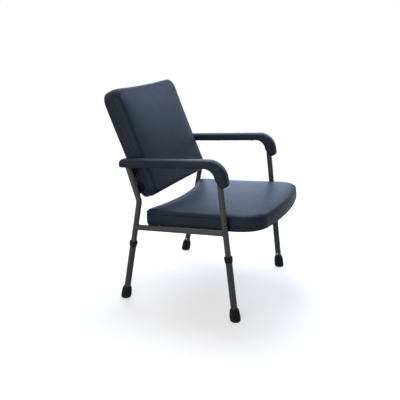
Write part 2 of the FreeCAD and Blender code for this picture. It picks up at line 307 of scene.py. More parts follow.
# starts a material: its shader with the uniform numbers on it, and the object's own coordinates
def newMaterial(name, uniform):
    material = bpy.data.materials.new(name)
    material.use_nodes = True
    tree = material.node_tree
    shader = tree.nodes["Principled BSDF"]
    for socket, value in uniform.items():
        shader.inputs[socket].default_value = value
    place = addNode(tree, "ShaderNodeTexCoord").outputs["Object"]
    return material, tree, shader, place


# the end that all finishes share: two colours mixed by share, a roughness range read from gloss, and a bump
def finishMaterial(tree, shader, look, share, gloss=None, relief=None, depth=0.0):
    tint = addNode(tree, "ShaderNodeMix", {
        "Factor": share, "A": linear(look["base"]), "B": linear(look["tone"])}, data_type="RGBA")
    tree.links.new(tint.outputs["Result"], shader.inputs["Base Color"])
    if gloss is not None:
        rough = addNode(tree, "ShaderNodeMapRange", {
            "Value": gloss, "From Min": look["span"][0], "From Max": look["span"][1],
            "To Min": look["rough"][0], "To Max": look["rough"][1]})
        tree.links.new(rough.outputs["Result"], shader.inputs["Roughness"])
    if relief is not None:
        bump = addNode(tree, "ShaderNodeBump", {
            "Height": relief, "Strength": look["bump"], "Distance": depth})
        tree.links.new(bump.outputs["Normal"], shader.inputs["Normal"])


vinyl = {"base": "#18202c", "tone": "#212b39", "pebble": 0.0016, "drift": 0.09, "span": (0.3, 0.7),
         "rough": (0.42, 0.54), "bump": 0.10, "specular": 0.1}


# upholstery vinyl, PVC on a knitted backing, embossed with a fine pebble and wiped clean: a dark navy
# with a soft broad shine; the real 0.8 mm pebble is drawn at 1.6 mm so that it shows close up
def makeVinyl():
    material, tree, shader, place = newMaterial("embossedNavyVinyl", {
        "IOR": 1.5, "Specular IOR Level": vinyl["specular"]})
    slow = addNode(tree, "ShaderNodeTexNoise", {"Vector": place, "Scale": 1 / vinyl["drift"], "Detail": 3.0})
    cell = addNode(tree, "ShaderNodeTexVoronoi", {
        "Vector": place, "Scale": 1 / vinyl["pebble"]}, feature="F1")
    fine = addNode(tree, "ShaderNodeTexNoise", {
        "Vector": place, "Scale": 1 / (3 * vinyl["pebble"]), "Detail": 4.0})
    relief = addNode(tree, "ShaderNodeMath", {
        0: cell.outputs["Distance"], 1: fine.outputs["Fac"]}, operation="ADD")
    finishMaterial(tree, shader, vinyl, slow.outputs["Fac"], fine.outputs["Fac"], relief.outputs[0],
                   vinyl["pebble"] / 4)
    return material


coating = {"base": "#343639", "tone": "#424448", "peel": 0.0022, "speck": 0.0011, "show": (0.45, 0.75),
           "span": (0.3, 0.7), "rough": (0.36, 0.50), "bump": 0.12, "specular": 0.26}
# painted shade: the frame's coat made darker for the sliding legs, standing for the shade below the seat
shadedSleeveCoating = dict(coating, base="#272a2d", tone="#33363a")


# powder coat baked on steel tube: charcoal satin with the slight orange peel of the melted powder; the
# sliding legs take a darker copy of it, which is painted shade for their place below the seat
def makeCoating(name, look):
    material, tree, shader, place = newMaterial(name, {"IOR": 1.5, "Specular IOR Level": look["specular"]})
    peel = addNode(tree, "ShaderNodeTexNoise", {"Vector": place, "Scale": 1 / look["peel"], "Detail": 2.0})
    speck = addNode(tree, "ShaderNodeTexNoise", {"Vector": place, "Scale": 1 / look["speck"], "Detail": 1.0})
    share = addNode(tree, "ShaderNodeMapRange", {
        "Value": speck.outputs["Fac"], "From Min": look["show"][0], "From Max": look["show"][1]})
    finishMaterial(tree, shader, look, share.outputs["Result"], peel.outputs["Fac"], peel.outputs["Fac"],
                   look["peel"] / 4)
    return material


rubber = {"base": "#0b0b0c", "tone": "#191919", "blot": 0.012, "grit": 0.0008, "show": (0.45, 0.8),
          "span": (0.3, 0.7), "rough": (0.55, 0.75), "bump": 0.2, "specular": 0.12}
nylon = dict(rubber, base="#0a0a0b", tone="#131415", blot=0.010, grit=0.0006, rough=(0.38, 0.52), bump=0.12)
cloth = dict(rubber, base="#0d0d0e", tone="#1a1a1b", blot=0.030, grit=0.0018, rough=(0.80, 0.95), bump=0.5)


# moulded black goods share one build: blotches of dust over the black, and a fine grit in the surface
def makeBlack(name, look, ior):
    material, tree, shader, place = newMaterial(name, {"IOR": ior, "Specular IOR Level": look["specular"]})
    blot = addNode(tree, "ShaderNodeTexNoise", {"Vector": place, "Scale": 1 / look["blot"], "Detail": 5.0})
    share = addNode(tree, "ShaderNodeMapRange", {
        "Value": blot.outputs["Fac"], "From Min": look["show"][0], "From Max": look["show"][1]})
    grit = addNode(tree, "ShaderNodeTexVoronoi", {"Vector": place, "Scale": 1 / look["grit"]})
    finishMaterial(tree, shader, look, share.outputs["Result"], blot.outputs["Fac"], grit.outputs["Distance"],
                   look["grit"] / 3)
    return material


zinc = {"base": "#b7babd", "tone": "#8d9093", "streak": 0.0006, "stretch": 0.15, "span": (0.0, 1.0),
        "rough": (0.22, 0.42)}


# zinc-plated steel: a bright passivated grey with fine drawing streaks
def makeZinc():
    material, tree, shader, place = newMaterial("zincPlatedSteel", {"Metallic": 1.0})
    drawn = addNode(tree, "ShaderNodeMapping", {"Vector": place, "Scale": (1.0, 1.0, zinc["stretch"])})
    streak = addNode(tree, "ShaderNodeTexNoise", {
        "Vector": drawn.outputs["Vector"], "Scale": 1 / zinc["streak"], "Detail": 2.0})
    finishMaterial(tree, shader, zinc, streak.outputs["Fac"], streak.outputs["Fac"])
    return material


plywood = {"base": "#c9a878", "tone": "#a67f4f", "grain": 0.004, "stretch": 0.08, "rough": 0.7}


# raw birch plywood: pale rotary-cut veneer with long faint grain across the seat
def makePlywood():
    material, tree, shader, place = newMaterial("rawBirchPlywood", {
        "Roughness": plywood["rough"], "IOR": 1.5})
    along = addNode(tree, "ShaderNodeMapping", {"Vector": place, "Scale": (plywood["stretch"], 1.0, 1.0)})
    grain = addNode(tree, "ShaderNodeTexNoise", {
        "Vector": along.outputs["Vector"], "Scale": 1 / plywood["grain"], "Detail": 6.0})
    finishMaterial(tree, shader, plywood, grain.outputs["Fac"])
    return material


navyVinyl = makeVinyl()
powderCoat = makeCoating("charcoalPowderCoat", coating)
shadedSleeveCoat = makeCoating("paintedShadePowderCoat", shadedSleeveCoating)
blackRubber = makeBlack("mouldedBlackRubber", rubber, 1.52)
blackNylon = makeBlack("mouldedBlackNylon", nylon, 1.53)
dustCloth = makeBlack("spunbondDustCloth", cloth, 1.45)
zincSteel = makeZinc()
birchPly = makePlywood()
print("materials made")


# each tube: an outer wall and a bore carried along its bent run
def makeFrameTubes():
    around, steps = tubing["around"], tubing["bendSteps"]
    outer, inner = tubing["radius"], tubing["radius"] - tubing["wall"]
    frontEnd, rearEnd = frontFoot + frontUp * tubing["lift"], rearFoot + rearUp * tubing["lift"]
    runs = {
        "front_leg_arm_tube_": bentRun([frontEnd, armCorner, armEnd], tubing["armBend"], steps),
        "rear_upright_tube_": bentRun([rearEnd, uprightBend, armJoint], tubing["bendRadius"], steps),
        "seat_rail_": np.array([railFront, railRear]),
    }
    for hand, side in sides.items():
        for stem, run in runs.items():
            shell = tubeShell(beside(side, run), xAxis, outer, inner, around)
            name = stem.replace("_tube_", "_") + "tubing_" + hand
            addPiece(name, shell, powderCoat, nodes=[stem + hand])


# cushions in their own planes: width across, low to high along, border and seam up from the underside;
# stitch rows are (inset, height) about the seam
seatForm = {
    "width": 0.53, "low": -0.331, "high": 0.150, "lowRadius": 0.088, "highRadius": 0.025, "sideDraw": 0.005,
    "lowDraw": -0.015, "highDraw": 0.039, "border": 0.061, "crown": 0.012, "seam": 0.0436, "tilt": 4.3,
    "lean": 0.0, "edge": 0.032, "edgeRise": 0.0146, "roll": 57.0, "bulge": 0.0020, "sag": 0.0062,
    "cap": 0.006, "sideCap": 0.0018, "tuck": 0.030, "pucker": 0.0006, "drop": 0.005, "fill": 0.75,
    "across": 84, "along": 76,
    "stitch": [(-0.0006, -0.0034), (-0.0002, -0.0016), (0.0032, -0.0002), (0.0004, 0.0012),
               (-0.0004, 0.0026)],
}
backForm = {
    "width": 0.48, "low": 0.0, "high": 0.437, "lowRadius": 0.038, "highRadius": 0.050, "sideDraw": 0.002,
    "lowDraw": 0.001, "highDraw": 0.004, "border": 0.073, "crown": 0.018, "seam": 0.033, "recline": 23.5,
    "lean": 0.004, "edge": 0.013, "edgeRise": 0.011, "roll": 72.0, "bulge": 0.0006, "sag": 0.0,
    "cap": 0.005, "sideCap": 0.0015, "tuck": 0.017, "pucker": 0.0016, "ahead": 0.0579, "rise": 0.021,
    "fill": 0.75, "across": 78, "along": 72,
    "stitch": [(-0.0004, -0.0120), (-0.0009, -0.0085), (-0.0014, -0.0055), (-0.0017, -0.0025), (-0.0016, 0.0),
               (-0.0010, 0.0022), (-0.0003, 0.0042), (0.0003, 0.0064)],
}
seatUp = leaning(seatForm["tilt"])
seatRearward = leaning(seatForm["tilt"] + 90)
crossMiddle = railMiddle - seatUp * seatForm["drop"]
seatOrigin = crossMiddle + seatUp * (tubing["radius"] + hairGap)  # underside of the seat
backUp = leaning(backForm["recline"])
backOut = leaning(backForm["recline"] - 90)
backSeam = uprightBend + np.array([0.0, -backForm["ahead"], backForm["rise"]])
backOrigin = backSeam - backOut * backForm["border"]
crossBars = {
    "seatFront": -0.140, "seatRear": 0.085, "low": 0.046, "pitch": 0.076, "width": 0.040, "thick": 0.005,
    "clear": 0.009, "bend": 0.008, "endRun": 0.016, "edge": 0.0012, "edgeSteps": 4, "bendSteps": 8,
    "endShare": 0.8, "beadShare": 0.93, "beadRound": 0.0024, "beadSteps": 6,
}
seatTubes = {"front": crossBars["seatFront"], "rear": crossBars["seatRear"]}
weldLook = {"bead": 0.0021, "ripple": 0.12, "pitch": 0.0028, "steps": 96, "around": 10, "grip": 0.85,
            "scarf": 1.8, "overlap": 0.0003}


# how far short of the other tube's axis a coped end stops: the circle's half chord at that height, and below
# and above the grip a straight scarf that runs back from it
def coped(heights, scarf=0.0):
    near = np.clip(heights, -weldLook["grip"] * tubing["radius"], weldLook["grip"] * tubing["radius"])
    return np.sqrt(tubing["radius"] ** 2 - near ** 2) + scarf * np.abs(heights - near)


# middle of one of the two flat bars, at a depth behind the back
def barMiddle(k, depth):
    return backOrigin + backUp * (crossBars["low"] + k * crossBars["pitch"]) - backOut * depth


# seat tubes: rings of wall and bore drawn out to the coped line at each rail; flat bars: a rounded rectangle
# carried along a run that steps in from the uprights to the back
def makeCrossMembers():
    for name, spot in seatTubes.items():
        walls = []
        for radius in (tubing["radius"], tubing["radius"] - tubing["wall"]):
            turned = circle(radius, tubing["around"])
            ring = crossMiddle + seatRearward * spot + turned[:, :1] * seatRearward + turned[:, 1:] * seatUp
            short = coped((ring - railMiddle) @ slopeUp, weldLook["scarf"])
            reach = tubing["track"] / 2 + weldLook["overlap"] - short
            walls.append(np.stack([ring - reach[:, None] * xAxis, ring + reach[:, None] * xAxis]))
        grid = np.vstack([walls[0], walls[1][::-1]])
        shell = (grid.reshape(-1, 3), gridQuads(len(grid), tubing["around"], True, True))
        addPiece("seat_cross_tubing_" + name, shell, powderCoat,
                 nodes=["seat_cross_tube_" + name])
    section = flatSection(crossBars["width"], crossBars["thick"], crossBars["edge"], crossBars["edgeSteps"])
    for k, name in enumerate(("lower", "upper")):
        middle = barMiddle(k, crossBars["thick"] / 2 + hairGap)
        weld = beside(1, meet(middle, backOut, uprightBend, uprightUp))
        end = weld - xAxis * (crossBars["endShare"] * tubing["radius"])
        inward = weld - xAxis * crossBars["endRun"]
        knee = middle + xAxis * (backForm["width"] / 2 + crossBars["clear"])
        right = [p * np.array([-1.0, 1.0, 1.0]) for p in (knee, inward, end)]
        run = bentRun([end, inward, knee] + right, crossBars["bend"], crossBars["bendSteps"])
        addPiece("back_bar_" + name, bar(run, backUp, section), powderCoat,
                 nodes=["back_cross_bar_" + name])


# bead along the crossing of two tubes: round the end of one tube, each point slides along that tube's axis
# until it lies one radius from the other tube's axis; ripples swell the bead at an even pitch
def weldBead(end, heading, otherPoint, otherHeading, third, scarf=0.0):
    radius = tubing["radius"]
    turn = np.linspace(0, 2 * math.pi, weldLook["steps"], endpoint=False)
    square = np.cross(heading, third)
    ring = radius * (np.cos(turn)[:, None] * third + np.sin(turn)[:, None] * square)
    away = unit(np.cross(otherHeading, third))
    away = away * np.sign(heading @ away)
    offset = end + ring - otherPoint
    level = coped(offset @ third, scarf) - offset @ away
    line = end + ring + heading * (level / (heading @ away))[:, None]
    return rippled(line)


# closed line of points given a round rippled section
def rippled(line):
    ahead = units(np.roll(line, -1, 0) - np.roll(line, 1, 0))
    outward = line - line.mean(0)
    outward = units(outward - (outward * ahead).sum(1)[:, None] * ahead)
    other = np.cross(ahead, outward)
    arc = np.cumsum(np.linalg.norm(np.roll(line, -1, 0) - line, axis=1))
    waves = max(round(arc[-1] / weldLook["pitch"]), 1)
    size = weldLook["bead"] * (1 + weldLook["ripple"] * np.sin(2 * math.pi * waves * arc / arc[-1]))
    section = circle(1.0, weldLook["around"])
    around = section[:, :1] * outward[:, None] + section[:, 1:] * other[:, None]
    grid = line[:, None] + size[:, None, None] * around
    return grid.reshape(-1, 3), gridQuads(len(line), weldLook["around"], True, True)


# a bead where each tube's end meets another tube, and one round each end of the flat bars
def makeWelds():
    square = unit(np.cross(rearward, xAxis))
    ring = flatSection(crossBars["width"], crossBars["thick"], crossBars["beadRound"], crossBars["beadSteps"])
    share = np.linspace(0, 1, weldLook["steps"], endpoint=False) * len(ring)
    ring = np.vstack([ring, ring[:1]])
    spots = readOff(share, np.arange(len(ring)), ring)
    for hand, side in sides.items():
        beads = [
            weldBead(beside(side, railFront), rearward, beside(side, frontFoot), frontUp, xAxis),
            weldBead(beside(side, railRear), -rearward, beside(side, rearFoot), rearUp, xAxis),
            weldBead(beside(side, armJoint), -uprightUp, beside(side, armMiddle), rearward, xAxis),
        ]
        rail = beside(side, railMiddle)
        for spot in seatTubes.values():
            end = beside(side, crossMiddle + seatRearward * spot)
            beads.append(weldBead(end, -side * xAxis, rail, rearward, square, weldLook["scarf"]))
        for k in range(2):
            joint = beside(side, meet(barMiddle(k, crossBars["thick"] / 2), backOut, uprightBend, uprightUp))
            weld = joint - xAxis * (side * crossBars["beadShare"] * tubing["radius"])
            beads.append(rippled(weld + spots[:, :1] * backUp + spots[:, 1:] * backOut))
        addPiece("weld_beads_" + hand, joined(beads), powderCoat, crease=0)


legLook = {
    "outer": 0.0127, "wall": 0.0012, "top": 0.255, "foot": 0.0081, "holePitch": 0.025, "holes": 7,
    "firstHole": 0.062, "holeRadius": 0.0039, "holeAround": 32, "peg": (0.005, 0.02), "around": 64,
    "rows": 45,
}


# lower leg tube: a plain shell from which a row of short pegs is cut, one for each height
def makeExtension(name, side, foot, up, body):
    path = foot + up * np.linspace(legLook["foot"], legLook["top"], legLook["rows"])[:, None]
    shell = tubeShell(path, xAxis, legLook["outer"], legLook["outer"] - legLook["wall"], legLook["around"])
    obj = newObject("leg_tube_" + name, shell)
    wide, (near, far) = legLook["holeRadius"], legLook["peg"]
    heights = legLook["firstHole"] + legLook["holePitch"] * np.arange(legLook["holes"])
    profile = [(0, near), (wide, near), (wide, far), (0, far)]
    pegs = [lathe(profile, foot + up * h, -side * xAxis, up, legLook["holeAround"]) for h in heights]
    cutter = newObject("pegs", joined(pegs))
    cut = obj.modifiers.new("holes", "BOOLEAN")
    cut.operation, cut.solver, cut.object = "DIFFERENCE", "EXACT", cutter
    bpy.context.view_layer.update()
    made = bpy.data.meshes.new_from_object(obj.evaluated_get(bpy.context.evaluated_depsgraph_get()))
    obj.modifiers.clear()
    obj.data = made
    bpy.data.objects.remove(cutter)
    made.set_sharp_from_angle(angle=math.radians(sharpAngle))
    # painted shade: the leg tube takes the darkened copy of the frame coat
    dress(obj, shadedSleeveCoat, body, ["leg_extension_" + name])


# bush on the top end: (radius, height) from the top of the leg tube, a rounded barrel with a shallow waist
collarLook = {
    "corners": [(0.01285, -0.0195), (0.0146, -0.0195), (0.0153, -0.0165), (0.0153, -0.0120),
                (0.0150, -0.0108), (0.0150, -0.0098), (0.0160, -0.0080), (0.0160, 0.0005), (0.0142, 0.003),
                (0.01145, 0.003), (0.01145, 0.0001), (0.01285, 0.0001)],
    "rounds": [0.0003, 0.001, 0.002, 0.0006, 0.0003, 0.0003, 0.0006, 0.0012, 0.0009, 0.0004, 0, 0],
    "roundSteps": 5, "around": 64,
}
# rubber foot: (radius, height) from the floor, ribbed sole, swelling side, rounded rim, socket for the leg
ferruleLook = {
    "profile": [(0, 0), (0.0045, 0), (0.005, 0.0012), (0.0072, 0.0012), (0.0077, 0), (0.0112, 0),
                (0.0117, 0.0012), (0.0139, 0.0012), (0.0144, 0), (0.0166, 0), (0.0180, 0.0005),
                (0.0192, 0.0018), (0.0201, 0.0040), (0.0206, 0.0075), (0.0207, 0.0130), (0.0205, 0.0200),
                (0.0201, 0.0270), (0.0196, 0.0330), (0.0189, 0.0380), (0.0180, 0.0422), (0.0169, 0.0460),
                (0.0158, 0.0488), (0.0147, 0.0505), (0.0138, 0.0510), (0.0131, 0.0506), (0.0128, 0.0495),
                (0.0128, 0.0480), (0.0128, 0.0085), (0, 0.0082)],
    "level": 0.03, "around": 64,
}
# push button: (radius, distance from the leg's axis), a flat-sided stud with a domed tip
buttonLook = {
    "profile": [(0, 0.0085), (0.0035, 0.0085), (0.0035, 0.0134), (0.0034, 0.0140), (0.0031, 0.0145),
                (0.0025, 0.0149), (0.0015, 0.01512), (0, 0.0152)],
    "around": 40,
}
# leaf spring in the leg tube: a strip bent to a V, one arm behind the button, the other on the far wall
leafLook = {"width": 0.008, "thick": 0.0006, "round": 0.0002, "roundSteps": 3, "face": 0.0082, "tail": 0.008,
            "apex": 0.038, "bend": 0.0015, "bendSteps": 8}


# the V-bent strip in zinc, fixed where it is drawn and carried by no body
def makeLeaf(name, side, axis, up):
    section = flatSection(leafLook["width"], leafLook["thick"], leafLook["round"], leafLook["roundSteps"])
    behind, tail = -side * xAxis * leafLook["face"], up * leafLook["tail"]
    corners = [axis + behind - tail, axis + behind + tail, axis + up * leafLook["apex"], axis - behind]
    run = bentRun(corners, leafLook["bend"], leafLook["bendSteps"])
    obj = newObject("leaf_spring_" + name, bar(run, np.cross(up, xAxis), section))
    obj.data.materials.append(zincSteel)
    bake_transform(obj)
    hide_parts("snap_spring_" + name)


# each leg: the drilled tube with its collar and foot on one body, the stud on another, the leaf between
def makeLegs():
    barrel = filletLoop(collarLook["corners"], collarLook["rounds"], collarLook["roundSteps"])
    for hand, side in sides.items():
        for end, (foot, up) in legLines.items():
            name = end + "_" + hand
            body = "leg_" + name
            base = beside(side, foot)
            hole = base + up * legLook["firstHole"]
            makeExtension(name, side, base, up, body)
            collar = lathe(barrel, base + up * legLook["top"], up, xAxis, collarLook["around"], closed=True)
            addPiece("collar_bush_" + name, collar, blackNylon, body, ["leg_collar_" + name])
            shoe = lathe(ferruleLook["profile"], base, up, xAxis, ferruleLook["around"], ferruleLook["level"])
            addPiece("rubber_foot_" + name, shoe, blackRubber, body, ["ferrule_" + name],
                     crease=50.0)
            stud = lathe(buttonLook["profile"], hole, -side * xAxis, up, buttonLook["around"])
            addPiece("lock_stud_" + name, stud, zincSteel, "button_" + name,
                     ["snap_button_" + name])
            makeLeaf(name, side, hole, up)


# arc through three points of a plane in even steps of its angle, or a straight line where they are in line
def arcThrough(a, b, c, steps):
    ab, ac = b - a, c - a
    cross = ab[0] * ac[1] - ab[1] * ac[0]
    if abs(cross) < 1e-9:
        return a + (c - a) * np.linspace(0, 1, steps)[:, None]
    normalB = np.array([-ab[1], ab[0]])
    normalC = np.array([-ac[1], ac[0]])
    centre = a + (normalC * (ab @ ab) - normalB * (ac @ ac)) / (-2 * cross)
    angles = [math.atan2(*(p - centre)[::-1]) for p in (a, b, c)]
    sweepB = (angles[1] - angles[0]) % (2 * math.pi)
    sweepC = (angles[2] - angles[0]) % (2 * math.pi)
    if sweepB > sweepC:
        sweepC -= 2 * math.pi
    turn = angles[0] + np.linspace(0, 1, steps) * sweepC
    return centre + np.linalg.norm(a - centre) * np.stack([np.cos(turn), np.sin(turn)], -1)


# a line cut into equal lengths
def evenly(line, count):
    arc = lengths(line)
    return readOff(np.linspace(0, arc[-1], count + 1), arc, line)


outlineLook = {"leastRound": 0.006, "corner": 41, "side": 201}


# the four sides of a cushion's outline, drawn in by inset, each from corner middle to corner middle
def outlineSides(form, inset):
    half = form["width"] / 2 - inset
    low, high = form["low"] + inset, form["high"] - inset
    lowRound = max(form["lowRadius"] - inset, outlineLook["leastRound"])
    highRound = max(form["highRadius"] - inset, outlineLook["leastRound"])
    near = 1 - math.sqrt(0.5)
    right = [
        (half - lowRound, low), (half - near * lowRound, low + near * lowRound), (half, low + lowRound),
        (half - form["sideDraw"], (low + lowRound + high - highRound) / 2),
        (half, high - highRound), (half - near * highRound, high - near * highRound),
        (half - highRound, high),
    ]
    a, b, c, d, e, f, g = [np.array(p) for p in right]
    flip = np.array([-1.0, 1.0])
    foot = np.array([0.0, low + form["lowDraw"]])
    top = np.array([0.0, high - form["highDraw"]])
    steps, mid = outlineLook["side"], outlineLook["corner"] // 2
    lowArc, highArc = [arcThrough(*corner, outlineLook["corner"]) for corner in ((a, b, c), (e, f, g))]
    lowHalf, highHalf = lowArc[:mid + 1], highArc[mid:]
    lowSide = np.vstack([(lowHalf * flip)[::-1], arcThrough(a * flip, foot, a, steps)[1:-1], lowHalf])
    rightSide = np.vstack([lowArc[mid:], arcThrough(c, d, e, steps)[1:-1], highArc[:mid + 1]])
    highSide = np.vstack([highHalf * flip, arcThrough(g * flip, top, g, steps)[1:-1], highHalf[::-1]])
    across, along = form["across"], form["along"]
    return (evenly(lowSide, across), evenly(rightSide, along), evenly(highSide, across),
            evenly(rightSide * flip, along))


# closed loop of an outline: low side, right side, high side backwards, left side backwards
def outlineLoop(form, inset):
    low, right, high, left = outlineSides(form, inset)
    return np.vstack([low[:-1], right[:-1], high[::-1][:-1], left[::-1][:-1]])


# inside of an outline as a grid: the two pairs of facing sides blended, less the blend of the four corners
def outlinePatch(form, inset):
    low, right, high, left = outlineSides(form, inset)
    s = np.linspace(0, 1, form["across"] + 1)[None, :, None]
    t = np.linspace(0, 1, form["along"] + 1)[:, None, None]
    pairs = (1 - t) * low[None] + t * high[None] + (1 - s) * left[:, None] + s * right[:, None]
    corners = (1 - s) * (1 - t) * low[0] + s * (1 - t) * low[-1] + (1 - s) * t * high[0] + s * t * high[-1]
    return pairs - corners


# loop of grid positions round the edge of a patch, in the order of outlineLoop
def patchEdge(form):
    ids = np.arange((form["along"] + 1) * (form["across"] + 1)).reshape(form["along"] + 1, form["across"] + 1)
    return np.concatenate([ids[0, :-1], ids[:-1, -1], ids[-1, ::-1][:-1], ids[::-1, 0][:-1]])


# dome over a patch: the product of two parabolas, one in the middle and nothing along the edge
def dome(form):
    s, t = np.linspace(0, 1, form["across"] + 1), np.linspace(0, 1, form["along"] + 1)[:, None]
    return 16 * s * (1 - s) * t * (1 - t)


# one ring of the outline for each (inset, height) row
def outlineRings(form, rows):
    return [np.insert(outlineLoop(form, inset), 2, height, axis=1) for inset, height in rows]


# rings one after another, closed by a panel whose edge takes the last ring's place
def closedRings(form, rings, panel):
    loop = len(rings[0])
    start = (len(rings) - 1) * loop
    edge = patchEdge(form) + start
    quads = [gridQuads(len(rings) - 1, loop, False, True), bridge(np.arange(start - loop, start), edge),
             gridQuads(form["along"] + 1, form["across"] + 1) + start]
    return np.vstack(rings[:-1] + [panel]), np.vstack(quads)


borderLook = {
    "tuck": 0.0014, "border": 8, "flat": 7, "leastFlat": 0.004, "roll": 8, "lip": 0.004,
    "hem": [(0.013, 0.0012), (0.008, 0.0008), (0.0045, 0.0006), (0.0020, 0.0010), (0.0007, 0.0023),
            (0.0002, 0.0048)],
}


# side profile of a boxed cushion as (inset, height): tuck and hem under the board, border, seam, rolled edge
def borderRows(form):
    seam, lean, bulge, stitch = [form[k] for k in ("seam", "lean", "bulge", "stitch")]
    rows = [(form["tuck"], borderLook["tuck"])] + borderLook["hem"]
    low, start, end = rows[-1][1], seam + stitch[0][1], seam + stitch[-1][1]
    share = np.linspace(0, 1, borderLook["border"])[1:-1]
    rows += [(-bulge * math.sin(math.pi * q), low + (start - low) * q) for q in share]
    rows += [(inset, seam + offset) for inset, offset in stitch]
    roll = form["border"] - form["edgeRise"]
    flat = roll - end
    if flat > borderLook["leastFlat"]:
        first = stitch[-1][0]
        share = np.linspace(0, 1, borderLook["flat"])[1:-1]
        rows += [(first + (lean - first) * q - bulge * math.sin(math.pi * q), end + flat * q) for q in share]
    turn = np.radians(np.linspace(0, form["roll"], borderLook["roll"]))
    rows += [(lean + form["edge"] * (1 - math.cos(q)), roll + form["edgeRise"] * math.sin(q)) for q in turn]
    return rows


crownLook = {"share": 0.55, "power": 0.6}
sagLook = {"clear": 0.003, "ease": 0.013, "least": 0.25, "front": 0.27, "frontEase": 0.09, "rearGain": 0.4,
           "rear": 0.145, "heightFade": 0.012, "insetFade": 0.007}


# boxed cushion in its own plane: border rows round the outline, closed by a crowned panel; the lower edge
# hangs by the sag, least at the cross tubes and in front, most at the rear, and fades up the border
def cushionBase(form):
    rows = borderRows(form)
    rings = outlineRings(form, rows)
    crown = form["crown"] * crownLook["share"] * dome(form) ** crownLook["power"]
    panel = np.dstack([outlinePatch(form, rows[-1][0]), rows[-1][1] + crown]).reshape(-1, 3)
    for ring, (inset, height) in zip(rings, rows):
        off = np.abs(ring[:, 1:2] - list(seatTubes.values())).min(1)
        free = np.clip((off - sagLook["clear"]) / sagLook["ease"], sagLook["least"], 1)
        free = free * np.clip((ring[:, 1] + sagLook["front"]) / sagLook["frontEase"], sagLook["least"], 1)
        free = free * (2 - free) * (1 + sagLook["rearGain"] * np.clip(ring[:, 1] / sagLook["rear"], 0, 1))
        fade = math.exp(-height / sagLook["heightFade"] - max(inset, 0) / sagLook["insetFade"])
        ring[:, 2] -= form["sag"] * free * fade
    points, quads = closedRings(form, rings, panel)
    return points, quads, rows, len(rings[0])


clothLook = {"pressure": 4.0, "frames": 20, "tension": 18.0, "bending": 1.2, "seamShrink": 0.02, "quality": 6,
             "heldRows": 4, "taut": 0.82, "rounds": 40}


# the travel evened out by means of neighbours: each ring along its loop, the panel from its edge inwards
def evened(travel, rows, loop, form):
    smooth = travel.copy()
    start = (len(rows) - 1) * loop
    rings = smooth[:start].reshape(-1, loop, 3)
    panel = smooth[start:].reshape(form["along"] + 1, form["across"] + 1, 3)
    edge = patchEdge(form)
    rim = panel.reshape(-1, 3)[edge]
    for step in range(clothLook["rounds"]):
        rings += (np.roll(rings, 1, 1) + np.roll(rings, -1, 1) - 2 * rings) / 4
        rim += (np.roll(rim, 1, 0) + np.roll(rim, -1, 0) - 2 * rim) / 4
        panel.reshape(-1, 3)[edge] = rim
        panel[1:-1, 1:-1] = (panel[:-2, 1:-1] + panel[2:, 1:-1] + panel[1:-1, :-2] + panel[1:-1, 2:]) / 4
    return travel + clothLook["taut"] * (smooth - travel)


# the cover is blown up against its stitched seam and its stapled tuck; then each point's travel is softly
# capped, lower at the sides than in the middle of the panel, and evened
def inflate(name, points, quads, rows, loop, form):
    obj = newObject(name, (points, quads), crease=0)
    seamRow = int(np.argmin([abs(height - form["seam"]) for inset, height in rows]))
    held = obj.vertex_groups.new(name="held")
    held.add(list(range(clothLook["heldRows"] * loop)), 1.0, "REPLACE")
    drawn = obj.vertex_groups.new(name="drawn")
    drawn.add(list(range((seamRow - 1) * loop, (seamRow + 2) * loop)), 1.0, "REPLACE")
    cover = obj.modifiers.new("cover", "CLOTH")
    s = cover.settings
    s.quality = clothLook["quality"]
    s.use_pressure = True
    s.uniform_pressure_force = clothLook["pressure"]
    s.effector_weights.gravity = 0.0
    s.tension_stiffness = s.compression_stiffness = s.shear_stiffness = clothLook["tension"]
    s.bending_stiffness = clothLook["bending"]
    s.vertex_group_mass = "held"
    s.vertex_group_shrink = "drawn"
    s.shrink_min, s.shrink_max = 0.0, clothLook["seamShrink"]
    scene = bpy.context.scene
    scene.frame_start, scene.frame_end = 1, clothLook["frames"]
    cover.point_cache.frame_start, cover.point_cache.frame_end = 1, clothLook["frames"]
    for step in range(1, clothLook["frames"] + 1):
        scene.frame_set(step)
    swollen = np.zeros(len(points) * 3, np.float32)
    obj.evaluated_get(bpy.context.evaluated_depsgraph_get()).data.vertices.foreach_get("co", swollen)
    scene.frame_set(1)
    bpy.data.objects.remove(obj)
    travel = swollen.reshape(-1, 3).astype(float) - points
    cap = np.full(len(points), form["sideCap"])
    cap[len(rows) * loop - loop:] += (form["cap"] - form["sideCap"]) * np.sqrt(dome(form)).ravel()
    length = np.linalg.norm(travel, axis=1)
    print(name, "swelled by", round(float(length.max()) * 1000, 1), "mm at most")
    travel *= (cap * np.tanh(length / cap) / np.maximum(length, 1e-9))[:, None]
    return points + evened(travel, rows, loop, form)


puckerLook = {"span": 4, "bend": 0.35, "pitch": 0.0095, "swing": 1.7, "drift": 0.013, "fade": 0.008,
              "power": 1.5, "firstRow": 5}


# gathers: small folds square to the seam where the outline bends, that die away from it within about 12 mm
def pucker(points, rows, loop, form):
    ring, span = points[:loop, :2], puckerLook["span"]
    arc = np.cumsum(np.linalg.norm(np.roll(ring, -1, 0) - ring, axis=1))
    ahead, behind = np.roll(ring, -span, 0) - ring, ring - np.roll(ring, span, 0)
    bend = ahead[:, 0] * behind[:, 1] - ahead[:, 1] * behind[:, 0]
    bend = np.abs(bend) / (np.linalg.norm(ahead, axis=1) * np.linalg.norm(behind, axis=1))
    drift = puckerLook["swing"] * np.sin(arc / puckerLook["drift"])
    wave = np.sin(2 * math.pi * arc / puckerLook["pitch"] + drift) * np.clip(bend / puckerLook["bend"], 0, 1)
    outward = units(ring - ring.mean(0))
    moved = points.copy()
    for k in range(puckerLook["firstRow"], len(rows) - 1):
        fade = math.exp(-(abs(rows[k][1] - form["seam"]) / puckerLook["fade"]) ** puckerLook["power"])
        moved[k * loop:(k + 1) * loop, :2] += outward * (form["pucker"] * fade * wave)[:, None]
    return moved


